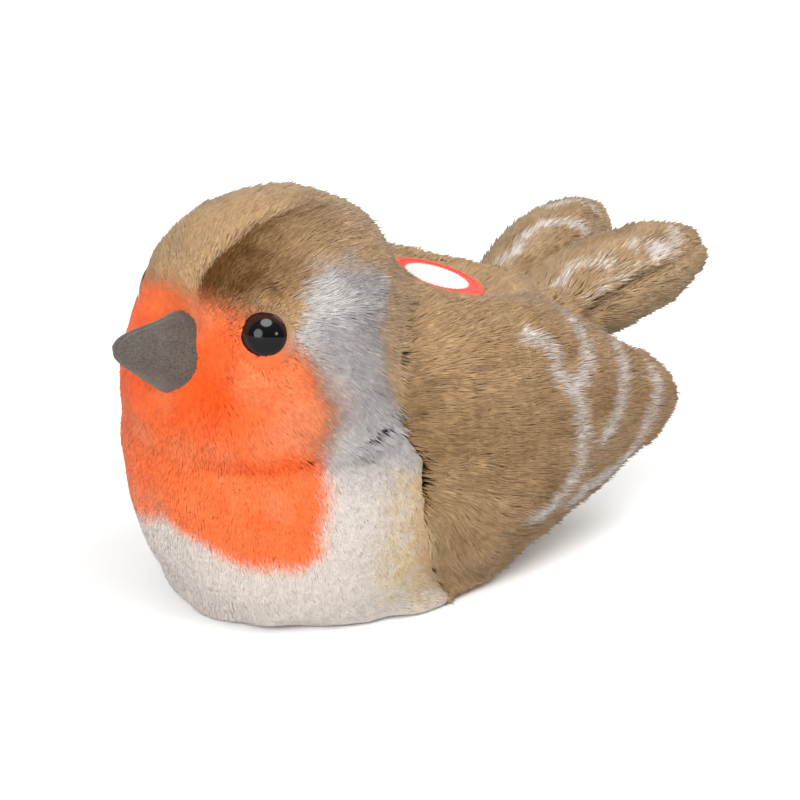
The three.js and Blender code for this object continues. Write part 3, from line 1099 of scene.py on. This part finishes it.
def follow_surface(foot, height, cloth, roots, root_normals):
    """Moves each foot to a given height over the cloth under it, or curls it where there is none."""
    cloth_points, cloth_normals = cloth
    under = nearest(cloth_points, foot)
    offset = foot - cloth_points[under]
    normal = cloth_normals[under]
    followed = foot + normal * (height - dot(offset, normal))[:, None]
    curled = roots + 0.35 * (foot - roots) + root_normals * (0.8 * height)[:, None]
    lost = (norms(offset) > 3.0) | (dot(normal, root_normals) < 0.1)
    return np.where(lost[:, None], curled, followed)


def tuft_weights(at, close, folded):
    """How thickly the pile grows: not on folded cloth, more in creases and at the wings' tips."""
    weights = np.where(at.on(HEAD), 1.2, 1.0) * np.where(at.up < 0.6, 0.25, 1.0)
    weights = weights * (1 + 0.2 * velvet(at)) * (1 + 0.9 * close) * ~folded
    weights = weights * (1 + 0.8 * at.on(*WINGS) * ramp(99, 107, at.back))
    weights = weights * ramp(9.2, 9.7, at.patch_radius()) * ramp(4.6, 5.0, at.eye_radius())
    reach = at.beak_reach()
    return weights * (1 + 1.2 * ramp(1.9, 1.2, reach) * ramp(0.8, 0.9, reach))


def strays(draw, at, velvety):
    """How far tufts stand out past the even coat: mostly not at all, a few of them further."""
    stray = np.clip(draw.exponential(0.2, len(at.x)), 0, 1.0) * (1 - 0.75 * velvety)
    stray = stray * ramp(1, 6, at.up) * ramp(5, 9, at.eye_radius())
    return stray * ramp(11, 14, at.patch_radius()) * ramp(1.2, 1.7, at.beak_reach())


def streaks(at, velvety, shaggy):
    """Ridges that run along the lie of the pile, and the crevices between them."""
    drawn_out = at.points * np.where(at.on(TRUNK)[:, None], (1, 1, 0.3), (1, 0.28, 1))
    streak = ripple(drawn_out, 1.9, 30) + 0.7 * ripple(drawn_out, 3.6, 31)
    return streak, ramp(0.6, 1.7, streak) * np.where(shaggy, 1.0, 0.35) * (1 - 0.8 * velvety)


def tuft_heights(draw, at, velvety, shaggy, streak, crevice):
    uneven = draw.uniform(-0.12, 0.08, len(at.x)) * (1 - 0.7 * velvety)
    height = pile_depth(at) * (0.95 + uneven)
    height = height * (1 + np.where(shaggy, 0.1, 0.05) * streak - 0.35 * crevice)
    height = height * (0.3 + 0.7 * ramp(0.3, 4.0, at.up))
    return height * np.where(at.on(TAIL), 1 - 0.55 * lobe_seam(at), 1)


def tuft_ways(draw, at, normal, velvety):
    """The way that each tuft lies along the cloth."""
    wander = ripples(at.points, 7, 40, 41, 42)
    fine = ripples(at.points, 2.2, 43, 44, 45)
    loose = draw.normal(0, 0.07, normal.shape) * (1 - 0.5 * velvety)[:, None]
    way = lay(at) + 0.14 * wander + 0.07 * fine + loose
    return unit(way - dot(way, normal)[:, None] * normal)


def locked_tips(draw, roots, way, run, clinging):
    """Tufts are drawn together into small locks: over which places they end, and the locks' tones."""
    count = len(roots)
    seeds = draw.choice(count, count // TUFTS_IN_LOCK, replace=False)
    lock = seeds[nearest(roots[seeds], roots)]
    clinging = clinging * draw.uniform(0.6, 1.2, count)
    tone = draw.normal(0, 0.025, count)[lock]
    over = roots + way * run[:, None]
    pull = roots[lock] + way[lock] * run[lock][:, None] * 1.05 - over
    return over + pull * (clinging * (norms(pull) <= FURTHEST_PULL))[:, None], tone


def tuft_places(roots, ring, tip, across, normal, width):
    places = np.where(IS_RING[:, None], ring[:, None], roots[:, None])
    places = np.where(IS_TIP[:, None], tip[:, None], places)
    for way, column in ((across, 1), (normal, 2)):
        places = places + way[:, None] * (TUFT[:, column, None] * width[:, None, None])
    places[..., 2] = np.maximum(places[..., 2], PILE_OVER_FLOOR)
    return places


def coat_normals(mesh, normal, vertex, next_piece, outward):
    """The normals of the smooth coat that the pile makes."""
    coat = unit(softened(mesh, outward, COAT_SOFTENING))[vertex]
    share = (0.5 + 0.45 * ramp(5.2, 2.2, next_piece[vertex]))[:, None]
    normal = unit(normal + 0.6 * outward[vertex])
    return unit(normal * (1 - share) + coat * share)


def tuft_shading(coat_normal, across, way, velvety):
    """The pile is shaded mostly as its coat, a little as single round tufts."""
    roundness = (TUFT_ROUNDNESS * (1 - 0.7 * velvety))[:, None, None]
    shading = coat_normal[:, None] + roundness * across[:, None] * (2 * TUFT[:, 1:2])
    shading = shading + 0.6 * roundness * way[:, None] * IS_TIP[:, None]
    return shading / np.linalg.norm(shading, axis=2)[..., None]


def tuft_tones(draw, at, lock_tone, velvety, streak, crevice):
    """How much lighter or darker than its dye each tuft is: at random, with painted shade in the crevices
    and a few painted glints.
    """
    tone = lock_tone + draw.normal(0, 0.06, len(at.x))
    # Painted shade darkens the tufts in the crevices between the streaks, and painted light brightens
    # their ridges a little.
    tone = 1 + tone * (1 - 0.65 * velvety) - 0.16 * crevice + 0.02 * streak
    # Painted glints: a few tufts on the upper parts made brighter.
    glint = (draw.random(len(at.x)) < 0.02) & (at.up > 20) & (velvety < 0.9)
    return np.clip(np.where(glint, tone * 1.3, tone), 0.6, 1.5)


def tuft_dyes_with_painted_light(draw, at, ring, tip, tone, velvety):
    """The dye is sprayed on, so it depends on where each part of a tuft lies."""
    scuff = draw.normal(0, 0.6, at.points.shape)
    dyes_with_painted_light = np.zeros((len(at.x), len(TUFT), 3))
    # Painted shade deep in the pile: the roots darker, less so in the short velvet, the ring a touch
    # darker, and the tips a touch lighter as painted light.
    at_root = ~IS_TIP & ~IS_RING
    parts = ((IS_TIP, tip, 1.03), (IS_RING, ring, 0.98), (at_root, at.points, 0.8 + 0.17 * velvety))
    for part, spot, shade in parts:
        colour = markings(Places(spot + scuff, at.piece))
        dyes_with_painted_light[:, part] = (colour * (tone * shade)[:, None])[:, None]
    return np.clip(dyes_with_painted_light, 0.001, 1)


def grow_pile(skin, skin_at, next_piece, outward):
    """Covers the cloth with tufts that follow it, closer and lower in its creases."""
    cloth_normals = read(skin.data, "normal", 3)
    cloth = (skin_at.points, unit(cloth_normals + 0.5 * outward))
    folded = dot(cloth_normals, outward) < 0.25
    close = ramp(3.7, 1.0, next_piece)
    roots, normal, vertex = scatter(skin.data, tuft_weights(skin_at, close, folded), TUFTS)
    draw = np.random.default_rng(SEED)
    count = len(roots)
    at = Places(roots, skin_at.piece[vertex])
    shaggy = at.on(*WINGS, TAIL)
    velvety = velvet(at)

    stray = strays(draw, at, velvety)
    streak, crevice = streaks(at, velvety, shaggy)
    height = tuft_heights(draw, at, velvety, shaggy, streak, crevice)
    height = height * (1 - 0.4 * close[vertex]) + stray
    length = pile_length(at) * draw.uniform(0.75, 1.2, count) + 0.6 * stray
    way = tuft_ways(draw, at, normal, velvety)
    across = np.cross(normal, way)
    run = np.sqrt(np.maximum(length**2 - height**2, 0.3))
    clinging = np.where(shaggy, 0.28, 0.14 - 0.11 * velvety)
    over, lock_tone = locked_tips(draw, roots, way, run, clinging)
    tip = follow_surface(over, height, cloth, roots, normal)
    bend = roots + (over - roots) * RING
    ring = follow_surface(bend, height * (1 - (1 - RING) ** 2), cloth, roots, normal)

    width = np.where(at.on(HEAD), 0.31, 0.36) + 0.08 * velvety
    width = width * draw.uniform(0.8, 1.25, count)
    width = np.maximum(width * np.exp(-2.4 * stray), 0.07)
    places = tuft_places(roots, ring, tip, across, normal, width)
    coat_normal = coat_normals(skin.data, normal, vertex, next_piece, outward)
    shading = tuft_shading(coat_normal, across, way, velvety)
    tone = tuft_tones(draw, at, lock_tone, velvety, streak, crevice)
    write_coats(at, places, shading, tuft_dyes_with_painted_light(draw, at, ring, tip, tone, velvety))


def unwrap(points, centre, half):
    """Round the piece and from end to end, as shares of one."""
    ball = unit((points - centre) / half)
    turn = np.arctan2(ball[:, 0], ball[:, 2]) / (2 * math.pi) + 0.5
    rise = np.arccos(np.clip(ball[:, 1], -1, 1)) / math.pi
    return np.stack([turn, rise], axis=1)


def coat_map(at, chunk, box_low, box_high):
    """Each tuft's small place on the coat's own map."""
    roots = unwrap(at.points[chunk], (box_low + box_high) / 2, (box_high - box_low) / 2)
    span = np.maximum(roots.max(axis=0) - roots.min(axis=0), 0.01)
    roots = 0.02 + 0.95 * (roots - roots.min(axis=0)) / span
    return (roots[:, None] + (TUFT_MAP * MAP_PATCH)[None]).reshape(-1, 2)


def coat_mesh(name, places, shading, dyes_with_painted_light, places_on_map):
    mesh = bpy.data.meshes.new(name)
    points = places.reshape(-1, 3) * MM
    corner = TUFT_FACES[None] + len(TUFT) * np.arange(len(places))[:, None, None]
    corner = corner.reshape(-1)
    mesh.vertices.add(len(points))
    mesh.vertices.foreach_set("co", points.astype(np.float32).ravel())
    mesh.loops.add(len(corner))
    mesh.polygons.add(len(corner) // 3)
    mesh.polygons.foreach_set("loop_start", np.arange(0, len(corner), 3, dtype=np.int32))
    mesh.polygons.foreach_set("vertices", corner.astype(np.int32))
    mesh.update(calc_edges=True)
    mesh.shade_smooth()
    mesh.normals_split_custom_set_from_vertices(shading.reshape(-1, 3))
    paint(mesh, dyes_with_painted_light.reshape(-1, 3))
    layer = mesh.uv_layers.new(name="OFBake")
    layer.data.foreach_set("uv", places_on_map[corner].astype(np.float32).ravel())
    return mesh


def write_coats(at, places, shading, dyes_with_painted_light):
    """Splits the tufts into coat pieces by body piece and station, and writes their meshes."""
    groups = (
        ("head_pile", HEAD, "body_pile"),
        ("body_pile", TRUNK, "body_pile"),
        ("wing_left_pile", WING_LEFT, "wing_pile"),
        ("wing_right_pile", WING_RIGHT, "wing_pile"),
        ("tail_pile", TAIL, "wing_pile"),
    )
    finishes = {
        "body_pile": pile_finish("body pile", 0.12),
        "wing_pile": pile_finish("wing pile", 0.1),
    }
    for name, piece, slot in groups:
        rows = np.flatnonzero(at.on(piece))
        rows = rows[np.argsort(at.points[rows, 1], kind="stable")]
        box = at.points[rows].min(axis=0), at.points[rows].max(axis=0)
        shares = math.ceil(len(rows) / MOST_TUFTS)
        for number, chunk in enumerate(np.array_split(rows, shares), 1):
            part = places[chunk], shading[chunk], dyes_with_painted_light[chunk], coat_map(at, chunk, *box)
            mesh = coat_mesh(f"{name}_{number}", *part)
            finish_piece(mesh, finishes[slot])


# ---- beak, eyes and patch


def beak_profile(rings=26):
    """(reach, along) places from the middle of the root to the blunt tip, with a reach of about 1."""
    profile = [(0, 0), (0.6, 0)]
    for step in range(rings + 1):
        along = (step / rings) ** 0.9
        body = 1.17 - 0.94 * along ** 1.1
        nose = math.sqrt(max(0.0, 1 - max(0.0, (along - 0.855) / 0.145) ** 2.2))
        profile.append((0 if step == rings else body * nose, along * BEAK_LENGTH))
    return profile


def make_beak():
    """Two felt panels sewn along their ridges and stuffed to a blunt cone, softly dented."""
    bm = spun(beak_profile(), BEAK_TURNS)
    for vertex in bm.verts:
        reach = math.hypot(vertex.co.x, vertex.co.y)
        sides = abs(vertex.co.x) / max(reach, 1e-9)
        ridge = abs(vertex.co.y) / max(reach, 1e-9)
        vertex.co.x = math.copysign(reach * sides ** BEAK_RIDGE * BEAK_HALF_WIDTH, vertex.co.x)
        vertex.co.y = math.copysign(reach * ridge ** BEAK_RIDGE * BEAK_HALF_HEIGHT, vertex.co.y)
    turn = Matrix.Rotation(math.pi / 2 - BEAK_RISE, 4, "X")
    bmesh.ops.transform(bm, matrix=Matrix.Translation(Vector(BEAK_ROOT * MM)) @ turn, verts=bm.verts)
    bmesh.ops.recalc_face_normals(bm, faces=bm.faces)
    mesh = mesh_from(bm, "beak_felt")
    points = read_points(mesh)
    under_seam = 0.3 * bump_at(points[:, 0], 0, 0.4)
    dents = 0.16 * ripple(points, 6, 50) + 0.05 * ripple(points, 2, 51)
    write_points(mesh, points - read(mesh, "normal", 3) * (under_seam + dents)[:, None])
    beak = finish_piece(mesh, felt_finish())
    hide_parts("beak")


# (radius, height) places of an eye button's back, rim and groove, and of its dome's foot.
BUTTON_BACK = ((0, -2.9), (3.2, -2.9), (4.35, -2.5), (4.83, -1.8))
BUTTON_RIM = ((4.98, -1.0), (4.98, -0.3), (4.9, 0.15), (4.76, 0.42), (4.64, 0.5))
DOME_FOOT = (4.56, 0.56)
DOME_STEPS = 16
BUTTON_TURNS = 72


def button_profile():
    profile = [*BUTTON_BACK, *BUTTON_RIM, DOME_FOOT]
    for step in range(1, DOME_STEPS + 1):
        turn = step / DOME_STEPS * math.pi / 2
        radius = 0 if step == DOME_STEPS else DOME_FOOT[0] * math.cos(turn)
        profile.append((radius, DOME_FOOT[1] + (EYE_DOME - DOME_FOOT[1]) * math.sin(turn)))
    return [(EYE_GROWTH * radius, height) for radius, height in profile]


def make_eye(side, node, material):
    """A button with a rounded rim, a fine groove and a high dome."""
    bm = spun(button_profile(), BUTTON_TURNS)
    axis = EYE_AXIS * (side, 1, 1)
    centre = (EYE_MIDDLE + EYE_SHIFT) * (side, 1, 1) - axis * EYE_SINK
    bmesh.ops.transform(bm, matrix=seat(centre, axis), verts=bm.verts)
    mesh = mesh_from(bm, node + "_button")
    offset = read_points(mesh) - centre
    offset = offset - (offset @ axis)[:, None] * axis
    raised = 0.5 * ramp(4.4, 2.6, norms(offset) / EYE_GROWTH)  # the pupil sits a little high
    offset = offset / EYE_GROWTH - raised[:, None] * np.array([0, 0, 1])
    note_ring(mesh, norms(offset) / EYE_RADIUS)
    eye = finish_piece(mesh, material)
    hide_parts(node)


# (radius, height) places of the patch's rolled edge and its raised bare middle.
PATCH_EDGE = ((9.4, -PATCH_THICKNESS), (9.75, -0.75), (9.9, -0.5), (9.86, -0.22), (9.7, -0.06), (9.4, 0))
PATCH_FIELD = ((8.6, -0.03), (7.9, -0.03), (7.2, 0), (6.9, 0.1), (6.6, 0.13))
PATCH_CENTRE = ((5.0, 0.11), (3.0, 0.1), (1.2, 0.1), (0, 0.1))
PATCH_TURNS = 96
STITCHES = 132
STITCH_RADII = (0.85, 0.25, 0.17)
STITCH_SEAT = (9.25, 0, -0.02)
STITCH_TILT = 0.12


def make_patch():
    """A round of woven cloth with a rolled edge and a raised bare middle, and its stitched rim."""
    bm = spun([(0, -PATCH_THICKNESS), *PATCH_EDGE, *PATCH_FIELD, *PATCH_CENTRE], PATCH_TURNS)
    layer = bm.loops.layers.uv.new("flat")
    for face in bm.faces:
        for loop in face.loops:
            loop[layer].uv = (loop.vert.co.x, loop.vert.co.y)
    place = seat(PATCH_TOP, PATCH_NORMAL)
    bmesh.ops.transform(bm, matrix=place, verts=bm.verts)
    mesh = mesh_from(bm, "patch_cloth")
    across, _ = off_axis(read_points(mesh) - PATCH_TOP, PATCH_NORMAL)
    note_ring(mesh, across / PATCH_RADIUS)
    patch = finish_piece(mesh, patch_finish())
    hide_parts("round_patch")
    make_stitches(place)


def make_stitches(place):
    """Satin stitches over the patch's rim, each a short fat grain."""
    bm = bmesh.new()
    grain = Matrix.Diagonal((*(radius * MM for radius in STITCH_RADII), 1))
    foot = Matrix.Translation([side * MM for side in STITCH_SEAT])
    foot = foot @ Matrix.Rotation(STITCH_TILT, 4, "Y")
    for index in range(STITCHES):
        turn = Matrix.Rotation(2 * math.pi * index / STITCHES, 4, "Z")
        matrix = place @ turn @ foot @ grain
        bmesh.ops.create_icosphere(bm, subdivisions=2, radius=1, matrix=matrix)
    finish_piece(mesh_from(bm, "patch_stitches"), thread_finish())


# ---- stage, light and camera


def make_floor():
    bm = bmesh.new()
    bmesh.ops.create_grid(bm, x_segments=8, y_segments=8, size=3.0)
    floor = link("floor", mesh_from(bm, "floor"))
    floor.data.materials.append(floor_finish())


def aim(thing, target):
    way = Vector(target) - thing.location
    thing.rotation_mode = "QUATERNION"
    thing.rotation_quaternion = way.to_track_quat("-Z", "Y")


def seen_from(azimuth, elevation, distance, target):
    """A place round the target: azimuth 0 is in front of the beak, 90 on the bird's left."""
    turn, rise = math.radians(azimuth), math.radians(elevation)
    way = Vector((math.sin(turn) * math.cos(rise), -math.cos(turn) * math.cos(rise), math.sin(rise)))
    return Vector(target) + way * distance


def softbox(name, azimuth, elevation, distance, size, power, target):
    lamp = bpy.data.lights.new(name, "AREA")
    lamp.shape = "DISK"
    lamp.size = size
    lamp.energy = power
    box = link(name, lamp)
    box.location = seen_from(azimuth, elevation, distance, target)
    aim(box, target)


# Name, azimuth, elevation, distance and size in metres, and power of each lamp.
LAMPS = (
    ("key softbox", 34.5, 34, 2.7, 1.2, 54.0),
    ("front softbox", 20.3, 6, 2.4, 0.76, 14.0),
    ("side lamp", 57, 8, 2.4, 0.22, 2.6),
    ("top softbox", 112, 56, 3.0, 2.4, 62.0),
)
CENTRE = (cad_size[0] + cad_size[1]) / 2


def make_light():
    for name, azimuth, elevation, distance, size, power in LAMPS:
        softbox(name, azimuth, elevation, distance, size, power, CENTRE)
    make_studio()


def make_studio():
    """A white room, dim round the walls and bright overhead."""
    world = bpy.data.worlds.new("white studio")
    world.use_nodes = True
    nodes, links = world.node_tree.nodes, world.node_tree.links
    direction = nodes.new("ShaderNodeTexCoord").outputs["Generated"]
    split = nodes.new("ShaderNodeSeparateXYZ")
    links.new(direction, split.inputs["Vector"])
    rise = nodes.new("ShaderNodeMapRange")
    for name, value in (("From Min", 0.05), ("From Max", 0.8), ("To Min", 0.34), ("To Max", 0.85)):
        rise.inputs[name].default_value = value
    links.new(split.outputs["Z"], rise.inputs["Value"])
    links.new(rise.outputs["Result"], nodes["Background"].inputs["Strength"])
    nodes["Background"].inputs["Color"].default_value = (1.0, 1.0, 1.0, 1)
    bpy.context.scene.world = world
    bpy.context.scene.view_settings.view_transform = "Standard"


CAMERA_PLACE = (50, 20, 0.54)  # azimuth, elevation, and distance in metres
CAMERA_LENS = 119.07  # on a sensor 36 mm wide
AIM_BACK, AIM_UP = -0.6, 32.4  # the camera looks at this place on the toy's middle plane


def make_camera():
    target = Vector((CENTRE.x, CENTRE.y + AIM_BACK * MM, AIM_UP * MM))
    lens = bpy.data.cameras.new("camera")
    lens.lens = CAMERA_LENS
    lens.sensor_width = 36
    camera = link("camera", lens)
    camera.location = seen_from(*CAMERA_PLACE, target)
    aim(camera, target)
    bpy.context.scene.camera = camera


make_camera()
make_floor()
make_light()
skin, skin_at, next_piece, outward = make_skin()
grow_pile(skin, skin_at, next_piece, outward)
make_beak()
button = eye_finish()
make_eye(1, "eye_left", button)
make_eye(-1, "eye_right", button)
make_patch()
